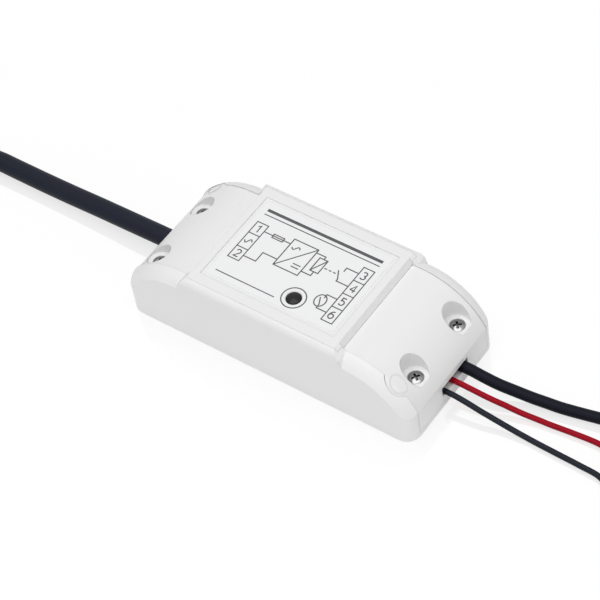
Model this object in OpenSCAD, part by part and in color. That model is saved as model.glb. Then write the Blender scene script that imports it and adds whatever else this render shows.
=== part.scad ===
// Garage door controller: a small white mains-powered box with a raised middle,
// two arched end covers, one push button and captive leads at both ends.
// X runs along the case with the mains end at -X, Y across it, Z up from the table.

/* [Case] */
// Length of the case
case_l = 88; // [84:1:100]
// Width of the case
case_w = 38; // [37:0.5:44]
// Height of the case at its raised middle
case_h = 23; // [22.5:0.5:28]
// Thickness of the side and end walls
wall_t = 1.7; // [1.4:0.1:2]
// Thickness of the floor
floor_t = 1.5; // [1.2:0.1:1.8]
// Radius of the upright corners
corner_r = 4; // [2.5:0.5:5]
// Rounding of the long top edges of the raised middle
edge_r = 2.2; // [1.2:0.1:2.4]
// Length of the raised middle at its foot
hump_l = 46.7; // [44.7:0.5:48.2]
// Lean of the end faces of the raised middle
hump_lean = 0.8; // [0:0.1:1.2]
// Flare of the raised middle where it meets the rails
hump_flare = 1.1; // [0.6:0.1:1.4]
// Run of its foot at the outer edge of the rails
hump_toe = 1.9; // [1.5:0.1:2.2]
// Drop from the raised middle to the rails beside the end covers
step_h = 1.7; // [1.2:0.1:2.2]
// Radius of the arch at each end
arch_r = 20; // [19.5:0.5:24]
// Distance from the end of the case to the crown of its arch
arch_run = 18.2; // [17:0.2:18.8]
// Width of the rail on each side of an end cover
rail_w = 3.7; // [3.2:0.1:4.2]
// Fall of the rail from the end cover to its outer edge
rail_fall = 2.7; // [1.8:0.1:3]
// Turn of the rail's curve across its width, in degrees
rail_turn = 38; // [20:2:44]
// Thickness of the rail beside the end cover
rail_t = 2.6; // [2.4:0.1:3]
// Clearance round the lid and the end covers
fit_gap = 0.07; // [0.05:0.01:0.15]

/* [Lid] */
// Thickness of the lid
lid_t = 2; // [1.6:0.1:2.4]
// Width of the ledge that carries the lid
lid_seat = 1; // [0.7:0.1:1.4]
// Depth of the skirt at each end of the lid
skirt_h = 4.4; // [4:0.1:5]
// Length of the label panel
panel_l = 40.6; // [36:0.2:42]
// Width of the label panel
panel_w = 28.8; // [24:0.2:30]
// Depth of the label panel
panel_d = 0.25; // [0.2:0.05:0.4]
// Bare border of the panel round the label
label_margin = 1; // [0.5:0.1:2]
// Thickness of the label
label_t = 0.15; // [0.1:0.05:0.2]

/* [End covers] */
// Thickness of an end cover
cover_t = 1.8; // [1.4:0.1:2.2]
// Drop of an end cover below its rails
cover_drop = 0.3; // [0.1:0.1:0.5]
// Width of the cable slot
slot_w = 11.4; // [10.8:0.2:12]
// Offset of the cable slot from the middle
slot_y = 0.8; // [0.4:0.2:1]
// Height of the top of the cable slot above the table
slot_top = 7; // [7:0.1:7.6]
// Height of the sill that the output leads pass over
sill_h = 3.8; // [3.6:0.1:3.9]
// Radius of the round ear on one side of a cover
ear_r = 3.1; // [2.8:0.1:3.2]
// Distance of the ear from the end of the case
ear_run = 5.9; // [5.6:0.1:6.4]
// Distance of the ear from the middle of the case
ear_y = 14; // [13.6:0.1:14]
// Radius of the raised ring on the ear
ring_r = 2.05; // [1.6:0.05:2.2]
// Distance of the mains cover's screws from the end of the case
mains_screw_run = 7.2; // [6.8:0.1:7.4]
// Distance of the output cover's screws from the end of the case
output_screw_run = 4.9; // [4.6:0.1:5.2]
// Half the distance between the two screws of a cover
screw_half = 9.3; // [9.1:0.1:9.4]
// Shift of the mains cover's screws to the button side
mains_screw_shift = 2.1; // [1.5:0.1:2.2]
// Shift of the output cover's screws away from the button side
output_screw_shift = 0.9; // [0.6:0.1:1.2]
// Depth of the seat of a screw head below the top of the cover
screw_drop = 4.2; // [4:0.1:4.4]
// Depth of the bore that takes a screw head, below the floor of its well
head_sink = 0.9; // [0.6:0.1:1]
// Diameter of the well round a screw head
well_d = 6.9; // [6.5:0.1:7]
// Diameter of a cover screw's head
head_d = 3.8; // [3.4:0.1:4.4]
// Height of a cover screw's head
head_h = 1.2; // [1:0.1:1.4]
// Diameter of a cover screw's shank
shank_d = 2.4; // [2:0.1:2.6]

/* [Button] */
// Diameter of the button
button_d = 3.75; // [3.4:0.05:4.2]
// Place of the button along the case
button_x = 4.8; // [4.4:0.1:5.2]
// Place of the button across the case
button_y = -9.3; // [-9.6:0.1:-9]
// Height of the button above the lid
button_rise = 0.2; // [0:0.1:0.4]
// Travel of the button
button_travel = 0.4; // [0.2:0.05:0.5]
// Clearance round the button
button_gap = 0.2; // [0.15:0.05:0.3]

/* [Circuit board] */
// Length of the board
board_l = 64; // [63.6:0.2:65]
// Thickness of the board
board_t = 1.6; // [1:0.1:1.6]
// Height of the board posts above the floor
post_h = 2; // [1.8:0.1:2.2]
// Diameter of the board posts
post_d = 5; // [4.6:0.1:5.4]
// Distance of the board posts from the ends and sides of the board
post_inset = 3.2; // [3:0.1:3.4]
// Pitch of the terminals
pitch = 5.08; // [5:0.04:5.08]
// Depth of a terminal block along the case
block_l = 8; // [7.4:0.2:8.4]
// Height of a terminal block
block_h = 10; // [9:0.2:11]

/* [Leads] */
// Diameter of the mains cord
mains_d = 5.4; // [5:0.1:5.4]
// Diameter of the sensor cable
sensor_d = 3; // [2.6:0.1:3]
// Diameter of the two switch wires
wire_d = 1.5; // [1.2:0.1:1.6]

/* [Hidden] */
$fn = 48;

WHITE = "#f1f1ef";
BLACK = "#1a1b1f";
METAL = "#c9ccd0";

// Planes that pieces share
end_x = case_l / 2;
side_y = case_w / 2;
hump_x = hump_l / 2;
rail_top = case_h - step_h;
arch_x = end_x - arch_run;
arch_z = rail_top - arch_r;
opening_y = side_y - rail_w;
inner_y = side_y - wall_t;
inner_x = end_x - wall_t;
seat_y = inner_y - lid_seat;
seat_z = case_h - lid_t;
cover_r = arch_r - cover_drop;
cover_y = opening_y - fit_gap;
lid_y = inner_y;
lid_x = hump_x - fit_gap;
foot_z = rail_top - cover_drop;
ear_x = end_x - ear_run;
ring_x = ear_x + 0.3;
ring_y = ear_y + 0.5;
ring_w = 0.25;
ring_rise = 0.15;
cup_wall = 1.2;
cup_floor = 1.6;
ear_z = 10;
hole_gap = 0.4;
thread_gap = 0.1;
board_z = floor_t + post_h;
board_top = board_z + board_t;
board_gap = 0.8;
board_w = 2 * (seat_y - board_gap);
room_h = seat_z - board_top;
post_x = board_l / 2 - post_inset;
post_y = board_w / 2 - post_inset;
screw_post_d = 4.6;
cord_gap = 0.05;
mains_y = 2;
mains_z = floor_t + mains_d / 2 + cord_gap;
far = 200;

// Shapes that several pieces share
module round_rect(l, w, r) {
    square([l - 2 * r, w], center = true);
    square([l, w - 2 * r], center = true);
    for (x = [-1, 1], y = [-1, 1]) translate([x * (l / 2 - r), y * (w / 2 - r)]) circle(r);
}

module bar_section(w, h, r) {
    translate([-w / 2, 0]) square([w, h - r]);
    translate([-w / 2 + r, 0]) square([w - 2 * r, h]);
    for (s = [-1, 1]) translate([s * (w / 2 - r), h - r]) circle(r);
}

module along_x(l) {
    rotate([90, 0, 90]) linear_extrude(l) children();
}

module across_y(w) {
    translate([0, w / 2, 0]) rotate([90, 0, 0]) linear_extrude(w) children();
}

// Curve of a rail, from the edge of the end cover to the side of the case
rail_lean = atan(rail_fall / rail_w) - rail_turn / 2;
rail_curve = norm([rail_w, rail_fall]) / 2 / sin(rail_turn / 2);

// Half section of an arch of radius r and width w, whose rims fall away where it has rails
module arch_section(r, w, rails) {
    difference() {
        translate([0, -w / 2]) square([r, w]);
        if (rails) for (s = [-1, 1]) difference() {
            translate([r - rail_fall, s > 0 ? opening_y : -side_y - 1]) square([rail_fall + 1, rail_w + 1]);
            translate([r - rail_curve * cos(rail_lean), s * (opening_y - rail_curve * sin(rail_lean))])
                circle(rail_curve, $fn = 96);
        }
    }
}

// Block under an arch of radius r and width w, with a level run from its crown to the raised middle
module arch(r, w, rails = false) {
    run = arch_x - hump_x + 2;
    translate([arch_x, 0, arch_z]) {
        rotate([90, 0, 0]) rotate_extrude($fn = 128) arch_section(r, w, rails);
        translate([-run, 0, 0]) along_x(run) rotate(90) arch_section(r, w, rails);
    }
}

module span_x(x0, x1, w, z0, z1) {
    translate([x0, -w / 2, z0]) cube([x1 - x0, w, z1 - z0]);
}

module both_ends() {
    for (turn = [0, 180]) rotate(turn) children();
}

// Places of the cover screws, with their seats, as seen with that cover's end at +X
function screw_seat(run) =
    arch_z + sqrt(pow(cover_r, 2) - pow(end_x - run - arch_x, 2)) - screw_drop;
function screw_places(run, shift) =
    [for (s = [-1, 1]) [end_x - run, shift + s * screw_half, screw_seat(run)]];
mains_screws = screw_places(mains_screw_run, mains_screw_shift);
output_screws = screw_places(output_screw_run, output_screw_shift);

screw_ends = [[180, mains_screws], [0, output_screws]];

module tube(outer, inner, h) {
    difference() {
        cylinder(d = outer, h = h);
        translate([0, 0, -1]) cylinder(d = inner, h = h + 2);
    }
}

// Case
// Half side view of the raised middle, whose ends lean from crown_x down to x and out to toe_x
module hump_half(crown_x, x, toe_x) {
    polygon([
        [-1, 0], [toe_x, 0], [toe_x, rail_top - rail_fall], [x, foot_z], [crown_x, case_h], [-1, case_h]
    ]);
}

module hump(w, crown_x, x, toe_x) {
    both_ends() across_y(w) hump_half(crown_x, x, toe_x);
}

// The raised middle where it runs out on the rails
module flared_hump(w) {
    hump(w, hump_x - hump_lean, hump_x + hump_flare, hump_x + hump_toe);
}

module base_outer() {
    intersection() {
        linear_extrude(case_h) round_rect(case_l, case_w, corner_r);
        union() {
            intersection() {
                translate([-end_x, 0, 0]) along_x(case_l) bar_section(case_w, case_h, edge_r);
                flared_hump(case_w + 2);
            }
            both_ends() intersection() {
                span_x(hump_x - hump_lean, end_x, case_w, 0, case_h);
                arch(arch_r, case_w, true);
            }
        }
    }
}

module end_pocket() {
    intersection() {
        span_x(hump_x - 1, inner_x, 2 * inner_y, floor_t, rail_top);
        arch(arch_r - rail_t, 2 * inner_y);
    }
    span_x(hump_x, far, 2 * opening_y, board_top, far);
    translate([inner_x - 1, -opening_y, floor_t]) cube([far, 2 * opening_y, far]);
    translate([ear_x, -ear_y, ear_z]) cylinder(r = ear_r + fit_gap, h = far);
}

module sill() {
    w = slot_w - 2 * fit_gap;
    translate([inner_x, slot_y - w / 2, floor_t]) cube([wall_t, w, sill_h - floor_t]);
}

module screw_posts(d, z0, over = 0) {
    for (end = screw_ends, p = end[1]) rotate(end[0])
        translate([p[0], p[1], z0]) cylinder(d = d, h = p[2] - cup_floor + over - z0);
}

module base() {
    color(WHITE) difference() {
        union() {
            difference() {
                base_outer();
                span_x(-hump_x, hump_x, 2 * seat_y, floor_t, far);
                span_x(-hump_x, hump_x, 2 * inner_y, seat_z, far);
                both_ends() end_pocket();
                for (s = [-1, 1], x = [-1, 1]) translate([x * tongue_x, s * seat_y, barb_z])
                    cube([tongue_w + 1, 2 * (barb + fit_gap), barb_h + 0.6], center = true);
            }
            both_ends() sill();
            screw_posts(screw_post_d, 0);
            for (x = [-1, 1], y = [-1, 1])
                translate([x * post_x, y * post_y, 0]) cylinder(d = post_d, h = board_z);
        }
        screw_posts(shank_d + thread_gap, floor_t, 1);
        for (x = [-1, 1], y = [-1, 1])
            translate([x * post_x, y * post_y, floor_t]) cylinder(d = board_screw_d + thread_gap, h = far);
        translate([-far, mains_y, mains_z]) rotate([0, 90, 0])
            cylinder(d = mains_d + 2 * cord_gap, h = far - inner_x);
    }
}

// Lid
tongue_x = 12;
tongue_w = 6;
tongue_t = 1.2;
tongue_h = 4;
barb = 0.5;
barb_h = 1;
barb_z = seat_z - 3;
skirt_t = 1.4;
guide_d = 7.6;
flange_d = 5.4;
flange_t = 0.8;
flange_top = seat_z - button_gap;
guide_h = 3.6;

skirt_y = cover_y - 0.5;

module lid_plate() {
    intersection() {
        union() {
            hump(2 * lid_y, lid_x - hump_lean, lid_x, lid_x);
            difference() {
                flared_hump(2 * lid_y);
                span_x(-end_x, end_x, 2 * opening_y, 0, far);
            }
        }
        union() {
            span_x(-hump_x, hump_x, case_w, seat_z, case_h);
            both_ends() span_x(lid_x - skirt_t, hump_x, 2 * skirt_y, case_h - skirt_h, case_h);
        }
    }
    for (s = [-1, 1], x = [-1, 1]) translate([x * tongue_x, s * (seat_y - fit_gap), 0]) tongue(s);
}

module tongue(s) {
    translate([-tongue_w / 2, s > 0 ? -tongue_t : 0, seat_z - tongue_h])
        cube([tongue_w, tongue_t, tongue_h + 0.5]);
    translate([-tongue_w / 2, 0, barb_z]) rotate([90, 0, 90]) linear_extrude(tongue_w)
        polygon([[0, -barb_h / 2], [s * barb, barb_h / 2], [0, barb_h / 2]]);
}

module lid() {
    color(WHITE) difference() {
        union() {
            lid_plate();
            translate([button_x, button_y, seat_z - guide_h])
                tube(guide_d, flange_d + 2 * button_gap, guide_h + 0.5);
        }
        span_x(-panel_l / 2, panel_l / 2, panel_w, case_h - panel_d, far);
        translate([button_x, button_y, 0]) cylinder(d = button_d + 2 * button_gap, h = far);
        translate([button_x, button_y, 0]) cylinder(d = flange_d + 2 * button_gap, h = seat_z);
    }
}

module label() {
    l = panel_l - 2 * label_margin;
    w = panel_w - 2 * label_margin;
    color("#eef0f6") translate([0, 0, case_h - panel_d]) difference() {
        linear_extrude(label_t) round_rect(l, w, 0.6);
        translate([button_x, button_y, -1]) cylinder(d = button_d + 4 * button_gap, h = 2);
    }
}

// End covers, alike but for the places of their screws
module cover_shell() {
    difference() {
        intersection() {
            arch(cover_r, 2 * cover_y);
            span_x(lid_x + fit_gap, end_x, 2 * cover_y, floor_t + fit_gap, case_h);
        }
        intersection() {
            arch(cover_r - cover_t, case_w);
            span_x(0, inner_x, case_w, 0, case_h);
        }
    }
}

module ear() {
    intersection() {
        translate([ear_x, -ear_y, ear_z]) cylinder(r = ear_r, h = case_h);
        difference() {
            arch(cover_r, case_w, true);
            arch(cover_r - cover_t, case_w + 2, true);
        }
        span_x(0, end_x, case_w, 0, case_h);
    }
}

module ear_ring() {
    intersection() {
        translate([ring_x, -ring_y, ear_z]) tube(2 * ring_r, 2 * (ring_r - ring_w), case_h);
        difference() {
            arch(cover_r + ring_rise, case_w, true);
            arch(cover_r - ring_rise, case_w + 2, true);
        }
    }
}

module screw_cups(places) {
    intersection() {
        for (p = places) translate(p - [0, 0, cup_floor]) cylinder(d = well_d + 2 * cup_wall, h = case_h);
        arch(cover_r, 2 * cover_y);
        span_x(0, end_x, 2 * cover_y, 0, case_h);
    }
}

module end_cover(places) {
    difference() {
        union() {
            cover_shell();
            ear();
            ear_ring();
            screw_cups(places);
        }
        for (p = places) translate(p) {
            translate([0, 0, head_sink]) cylinder(d = well_d, h = far);
            cylinder(d = head_d + hole_gap, h = far);
            translate([0, 0, -case_h]) cylinder(d = shank_d + hole_gap, h = far);
            translate([0, 0, -cup_floor - case_h]) cylinder(d = screw_post_d + 2 * fit_gap, h = case_h);
        }
        translate([inner_x - 1, slot_y - slot_w / 2, 0]) cube([wall_t + 2, slot_w, slot_top]);
    }
}

module mains_end_cover() {
    color(WHITE) rotate(180) end_cover(mains_screws);
}

module output_end_cover() {
    color(WHITE) end_cover(output_screws);
}

// Screw with a domed head whose underside is at z = 0
module cross_screw(hd, hh, sd, l) {
    difference() {
        union() {
            translate([0, 0, -l]) cylinder(d = sd, h = l + 0.1);
            cylinder(d = hd, h = hh * 0.55);
            intersection() {
                cylinder(d = hd, h = hh);
                translate([0, 0, hh - hd]) sphere(r = hd);
            }
        }
        for (turn = [0, 90]) rotate(turn) translate([0, 0, hh])
            cube([hd * 0.6, hd * 0.16, hh * 1.1], center = true);
    }
}

screw_turn = 4;

module cover_screws() {
    color(METAL) for (end = screw_ends, p = end[1]) rotate(end[0]) translate(p) rotate(screw_turn * p[1])
        cross_screw(head_d, head_h, shank_d, p[2] - floor_t - 2);
}

// Button and switch
switch_w = 6;
switch_h = 3.6;
plunger_d = 3.4;
plunger_gap = 0.15;
plunger_in = 1.2;
plunger_top = flange_top - flange_t + 1.2;
socket_gap = 0.05;
dome_h = 0.35;

module button_cap() {
    top = case_h + button_rise;
    dome_r = (button_d * button_d / 4 + dome_h * dome_h) / (2 * dome_h);
    color(BLACK) translate([button_x, button_y, 0]) difference() {
        union() {
            translate([0, 0, flange_top - flange_t]) cylinder(d = flange_d, h = flange_t);
            translate([0, 0, flange_top - 0.1]) cylinder(d = button_d, h = top - dome_h - flange_top + 0.1);
            intersection() {
                translate([0, 0, flange_top]) cylinder(d = button_d, h = far);
                translate([0, 0, top - dome_r]) sphere(r = dome_r, $fn = 96);
            }
            translate([0, 0, flange_top - flange_t - 1]) cylinder(d = plunger_d + 1.4, h = 1.2);
        }
        cylinder(d = plunger_d + 2 * socket_gap, h = plunger_top);
    }
}

module switch_plunger() {
    z = board_top + switch_h - plunger_in;
    color(BLACK) translate([button_x, button_y, z]) cylinder(d = plunger_d, h = plunger_top - z);
}

module switch_body() {
    color("#2a2a2c") translate([button_x, button_y, board_top]) difference() {
        linear_extrude(switch_h) round_rect(switch_w, switch_w, 0.5);
        translate([0, 0, switch_h - plunger_in - button_travel - plunger_gap])
            cylinder(d = plunger_d + 2 * plunger_gap, h = far);
    }
}

// Circuit board and what it carries
board_screw_d = 2;
board_head_d = 3.6;

module circuit_board() {
    color("#1f6b3a") translate([0, 0, board_z]) difference() {
        linear_extrude(board_t) round_rect(board_l, board_w, 1);
        for (x = [-1, 1], y = [-1, 1]) translate([x * post_x, y * post_y, -1])
            cylinder(d = board_screw_d + hole_gap, h = board_t + 2);
    }
}

module board_screws() {
    color(METAL) for (x = [-1, 1], y = [-1, 1]) translate([x * post_x, y * post_y, board_top])
        cross_screw(board_head_d, 1.2, board_screw_d, board_t + post_h - 0.3);
}

block_x = board_l / 2 - 0.5;
entry_w = 3.2;
entry_z = board_top + 1;
entry_depth = 5;
screw_bore = 3.6;

// Row of terminals whose wire entries face +X at x = block_x
module terminal_block(n, colour) {
    w = n * pitch;
    color(colour) difference() {
        across_y(w) polygon([
            [block_x - block_l, board_top], [block_x, board_top], [block_x, board_top + block_h * 0.55],
            [block_x - block_l * 0.25, board_top + block_h], [block_x - block_l, board_top + block_h]
        ]);
        for (i = [0:n - 1]) translate([0, (i - (n - 1) / 2) * pitch, 0]) {
            translate([block_x - entry_depth, -entry_w / 2, entry_z])
                cube([entry_depth + 1, entry_w, entry_w + 0.4]);
            translate([block_x - block_l * 0.62, 0, entry_z + entry_w]) cylinder(d = screw_bore, h = far);
        }
    }
}

module mains_terminal() {
    translate([0, mains_y, 0]) mirror([1, 0, 0]) terminal_block(2, "#2f7d4f");
}

module output_terminal() {
    terminal_block(4, "#2f7d4f");
}

module terminal_screw() {
    h = block_h - 2 * entry_w + 0.6;
    translate([block_x - block_l * 0.62, 0, entry_z + entry_w + 0.5]) difference() {
        cylinder(d = screw_bore - 0.2, h = h);
        translate([0, 0, h]) cube([screw_bore, 0.6, 1.2], center = true);
    }
}

module terminal_screws() {
    color(METAL) {
        for (i = [0:3]) translate([0, (i - 1.5) * pitch, 0]) terminal_screw();
        translate([0, mains_y, 0]) mirror([1, 0, 0])
            for (i = [0:1]) translate([0, (i - 0.5) * pitch, 0]) terminal_screw();
    }
}

module on_board(x, y) {
    translate([x, y, board_top]) children();
}

// Parts are placed from the sides of the board inwards
edge_y = board_w / 2;

// Radio board that stands on the main board, and its shield can
wifi_l = 18;
wifi_t = 0.8;
wifi_x = 3;
wifi_y = edge_y - 4.5;
wifi_gap = 1.3;
shield_l = 12;
shield_t = 2.4;
shield_in = 1;
shield_z = 3.4;
shield_top = 1.4;

module wifi_module() {
    color("#15406b") on_board(wifi_x, wifi_y) cube([wifi_l, wifi_t, room_h - wifi_gap]);
}

module wifi_shield() {
    color(METAL) on_board(wifi_x + shield_in, wifi_y - shield_t) translate([0, 0, shield_z])
        cube([shield_l, shield_t, room_h - wifi_gap - shield_z - shield_top]);
}

// Relay that closes the door contact, which fills the room up to the lid and the radio
relay_l = 10.2;
relay_x = 14.5;
relay_edge = 2;
relay_clear = 1.6;
relay_gap = 0.5;
relay_w = wifi_y - shield_t - relay_clear - relay_edge + edge_y;
relay_y = relay_edge - edge_y + relay_w / 2;

module relay() {
    color("#2456a8") on_board(relay_x, relay_y) linear_extrude(room_h - relay_gap)
        round_rect(relay_l, relay_w, 0.6);
}

opto_l = 4.6;
opto_w = 6;
opto_h = 3.4;
opto_x = -12.5;
opto_y = 0.6 - edge_y + opto_w / 2;

module optocoupler() {
    color("#e8e8e4") on_board(opto_x, opto_y) linear_extrude(opto_h) round_rect(opto_l, opto_w, 0.2);
}

// Drum core of the choke, with a flange at each end
choke_d = 5.4;
choke_waist = 4.2;
choke_h = 6;
choke_rim = 1;
choke_x = -2.4;
choke_y = 0.6 - edge_y + choke_d / 2;

module choke() {
    color("#4a3527") on_board(choke_x, choke_y) {
        cylinder(d = choke_d, h = choke_rim);
        cylinder(d = choke_waist, h = choke_h);
        translate([0, 0, choke_h - choke_rim]) cylinder(d = choke_d, h = choke_rim);
    }
}

// Drum with rounded rims, for the cans, the fuse and the varistor
drum_r = 0.5;

module drum(d, h) {
    rotate_extrude() {
        square([d / 2 - drum_r, h]);
        translate([0, drum_r]) square([d / 2, h - 2 * drum_r]);
        for (z = [drum_r, h - drum_r]) translate([d / 2 - drum_r, z]) circle(drum_r, $fn = 24);
    }
}

bulk_d = 8;
bulk_h = 12;
bulk_x = -14.5;
bulk_gap = 0.3;
bulk_step = 9.2;
bulk_y = opto_y + opto_w / 2 + bulk_gap + bulk_d / 2;

module bulk_capacitors() {
    color("#23252c") for (i = [0, 1]) on_board(bulk_x, bulk_y + i * bulk_step) drum(bulk_d, bulk_h);
}

can_d = 6.3;
can_h = 11;
can_x = -6.4;
can_y = choke_y + 5.8;

module output_capacitor() {
    color("#23252c") on_board(can_x, can_y) drum(can_d, can_h);
}

// Ferrite core with a window, and the winding that fills it
core_l = 13.4;
core_w = 6;
core_h = 12;
core_t = 2.4;
core_x = -3;
core_y = can_y + 10.4;

module transformer_core() {
    color("#35353a") on_board(core_x, core_y) difference() {
        linear_extrude(core_h) round_rect(core_l, core_w, 0.3);
        translate([core_t - core_l / 2, -core_w, core_t])
            cube([core_l - 2 * core_t, 2 * core_w, core_h - 2 * core_t]);
    }
}

module transformer_winding() {
    color("#e0c040") on_board(core_x, core_y) translate([0, 0, core_t])
        linear_extrude(core_h - 2 * core_t) round_rect(core_l - 2 * core_t, 2 * core_w, 2);
}

fuse_d = 3.6;
fuse_l = 9;
fuse_x = -20.5;
fuse_y = 4.1 - edge_y;

module fuse() {
    color("#7d5a3c") on_board(fuse_x - fuse_l / 2, fuse_y) translate([0, 0, fuse_d / 2]) rotate([0, 90, 0])
        drum(fuse_d, fuse_l);
}

varistor_d = 7;
varistor_t = 3.4;
varistor_x = -22.2;
varistor_y = edge_y - 3;

module varistor() {
    color("#2d64b0") on_board(varistor_x, varistor_y) translate([0, 0, varistor_d / 2]) rotate([90, 0, 0])
        drum(varistor_d, varistor_t);
}

rectifier_l = 3.6;
rectifier_w = 6.4;
rectifier_h = 2.6;
rectifier_x = -20.8;
rectifier_y = 2;

module bridge_rectifier() {
    color("#1d1d1f") on_board(rectifier_x, rectifier_y) linear_extrude(rectifier_h)
        round_rect(rectifier_l, rectifier_w, 0.2);
}

chip_h = 1.5;
chip_x = -4.6;
chip_l = 5;
chip_w = 3.6;
chip_y = edge_y - 0.6 - chip_w / 2;
driver_x = 6.2;
driver_y = -1.2;
driver_l = 2.8;
driver_w = 4.4;

module control_chips() {
    color("#1d1d1f") {
        on_board(chip_x, chip_y) linear_extrude(chip_h) square([chip_l, chip_w], center = true);
        on_board(driver_x, driver_y) linear_extrude(chip_h) square([driver_l, driver_w], center = true);
    }
}

// Tubes swept along a list of points
function unit(v) = v / norm(v);
function heading(p, i) = unit(p[min(i + 1, len(p) - 1)] - p[max(i - 1, 0)]);
function ring_at(c, t, d, n) =
    let (side = unit(cross(t, [0, 0, 1])), up = cross(side, t))
    [for (k = [0:n - 1]) c + d / 2 * (cos(360 * k / n) * side + sin(360 * k / n) * up)];

module swept(p, d, n = 8) {
    last = len(p) - 1;
    points = [for (i = [0:last]) each ring_at(p[i], heading(p, i), d, n)];
    walls = [for (i = [0:last - 1], k = [0:n - 1])
        let (a = i * n + k, b = i * n + (k + 1) % n)
        each [[a, a + n, b], [b, a + n, b + n]]];
    ends = [for (k = [1:n - 2]) each [[0, k, k + 1], [last * n, last * n + k + 1, last * n + k]]];
    polyhedron(points, concat(walls, ends));
}

// Least distance between points of a tube that are more than skip places apart
function self_gap(p, d, skip) =
    min([for (i = [0:len(p) - 1]) for (j = [i + skip:1:len(p) - 1]) norm(p[i] - p[j])]) - d;

// Leads inside the case
strip_x = 38;
core_d = 1.9;
thin_core_d = 1.1;
core_side = 0.65;
entry_x = block_x - entry_depth;
sensor_y = 4.6;
red_y = 0.2;
black_y = -3.6;
sensor_z = sill_h + sensor_d / 2 + cord_gap;
wire_z = sill_h + wire_d / 2 + cord_gap;

function mix(a, b, t) = a + (b - a) * t;

// Core of diameter d from (x0, y0, z0) to the floor of the terminal at y1, x falling
function core_route(x0, y0, z0, y1, d) =
    let (x1 = block_x + 0.6, z1 = entry_z + d / 2 + cord_gap)
    [
        [x0, y0, z0], [x0 - 1, y0, z0],
        [mix(x0 - 1, x1, 0.35), mix(y0, y1, 0.25), mix(z0, z1, 0.25)],
        [mix(x0 - 1, x1, 0.7), mix(y0, y1, 0.8), mix(z0, z1, 0.8)],
        [x1, y1, z1], [entry_x, y1, z1]
    ];

module mains_inner_cord() {
    color(BLACK) translate([-end_x, mains_y, mains_z]) rotate([0, 90, 0])
        cylinder(d = mains_d, h = end_x - strip_x);
}

module live_core() {
    color("#6b4226") mirror([1, 0, 0])
        swept(core_route(strip_x, mains_y + 1.2, mains_z, mains_y + pitch / 2, core_d), core_d);
}

module neutral_core() {
    color("#2f5fa8") mirror([1, 0, 0])
        swept(core_route(strip_x, mains_y - 1.2, mains_z, mains_y - pitch / 2, core_d), core_d);
}

// The clamps stand as near the end wall as the arch above them allows
grip_w = 2.6;
grip_t = 1.4;
grip_gap = 0.3;
function grip_x(top) = min(
    inner_x - grip_gap, arch_x + sqrt(pow(cover_r - cover_t, 2) - pow(top + grip_gap - arch_z, 2))
);

// Clamp that stands on the floor and holds the mains cord down

module mains_grip() {
    d = mains_d + 2 * cord_gap;
    h = mains_d + grip_t;
    color("#e9e9e6") translate([-grip_x(floor_t + h), mains_y, 0]) along_x(grip_w) difference() {
        translate([-d / 2 - grip_t, floor_t]) square([d + 2 * grip_t, h]);
        translate([0, mains_z]) circle(d = d);
        translate([-d / 2, 0]) square([d, mains_z]);
    }
}

module sensor_inner_cable() {
    color(BLACK) translate([strip_x, sensor_y, sensor_z]) rotate([0, 90, 0])
        cylinder(d = sensor_d, h = end_x - strip_x);
}

module sensor_inner_cores() {
    color("#d9d9d6") for (s = [-1, 1])
        swept(core_route(strip_x, sensor_y + s * core_side, sensor_z, (1 + s / 2) * pitch, thin_core_d),
            thin_core_d);
}

// Cable tie round the sensor cable behind its slot
strap_t = 0.8;
strap_head = 1.2;
strap_head_w = 3.6;

module sensor_grip() {
    d = sensor_d + 2 * cord_gap;
    head_z = d / 2 + strap_t / 2;
    color("#e9e9e6") translate([grip_x(sensor_z + head_z + strap_head) - grip_w, sensor_y, sensor_z]) {
        rotate([0, 90, 0]) tube(d + 2 * strap_t, d, grip_w);
        translate([0, -strap_head_w / 2, head_z]) cube([grip_w, strap_head_w, strap_head]);
    }
}

module red_inner_wire() {
    color("#a5121f") swept(core_route(end_x, red_y, wire_z, -pitch / 2, wire_d), wire_d);
}

module black_inner_wire() {
    color(BLACK) swept(core_route(end_x, black_y, wire_z, -1.5 * pitch, wire_d), wire_d);
}

// Hank of mains cord: loops with round folds, drawn in at the waist, whose end climbs to the plug
tie_t = 0.8;
tie_gap = 0.3;
hank_step = mains_d + 0.9;
hank_z = tie_t + tie_gap + mains_d / 2;
fold_x = -151;
hank_y = 1.5;
fold_r = 16.6;
hank_half = 20;
hank_draw = 5;
hank_loops = 2.5;
loop_rings = 24;
plug_rise = 10.6;

function smooth(t) = (1 - cos(180 * min(max(t, 0), 1))) / 2;
function hank_turn(t) =
    t < 1 ? 1 - t : t < 1.25 ? 0 : t < 2.25 ? t - 1.25 : 1 - 1.5 * smooth((t - 2.25) * 4);
function hank_r(t) = fold_r + hank_step * hank_turn(t);
function hank_level(t) = hank_z + hank_step * smooth((t - 1) * 4) + plug_rise * smooth((t - 2.1) * 2.5);
function run_y(x, r) = r - hank_draw * (1 + cos(180 * x / hank_half)) / 2;
function hank_plan(u, r) =
    u < 0.25 ? let (x = hank_half * (1 - 8 * u)) [x, -run_y(x, r)]
    : u < 0.5 ? let (a = 270 - 720 * (u - 0.25)) [r * cos(a) - hank_half, r * sin(a)]
    : u < 0.75 ? let (x = hank_half * (8 * (u - 0.5) - 1)) [x, run_y(x, r)]
    : let (a = 90 - 720 * (u - 0.75)) [r * cos(a) + hank_half, r * sin(a)];
function hank_point(t) =
    let (p = hank_plan(t - floor(t), hank_r(t))) [fold_x - hank_half + p[0], hank_y + p[1], hank_level(t)];
hank_start = hank_point(0) + [mains_d, 0, 0];
plug_at = hank_point(hank_loops) + [mains_d, 0, 0];
hank_loop = [for (i = [0:hank_loops * loop_rings]) hank_point(i / loop_rings)];
hank_route = concat([hank_start], hank_loop, [plug_at]);
echo(hank_gap = self_gap(hank_route, mains_d, 9));

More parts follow.
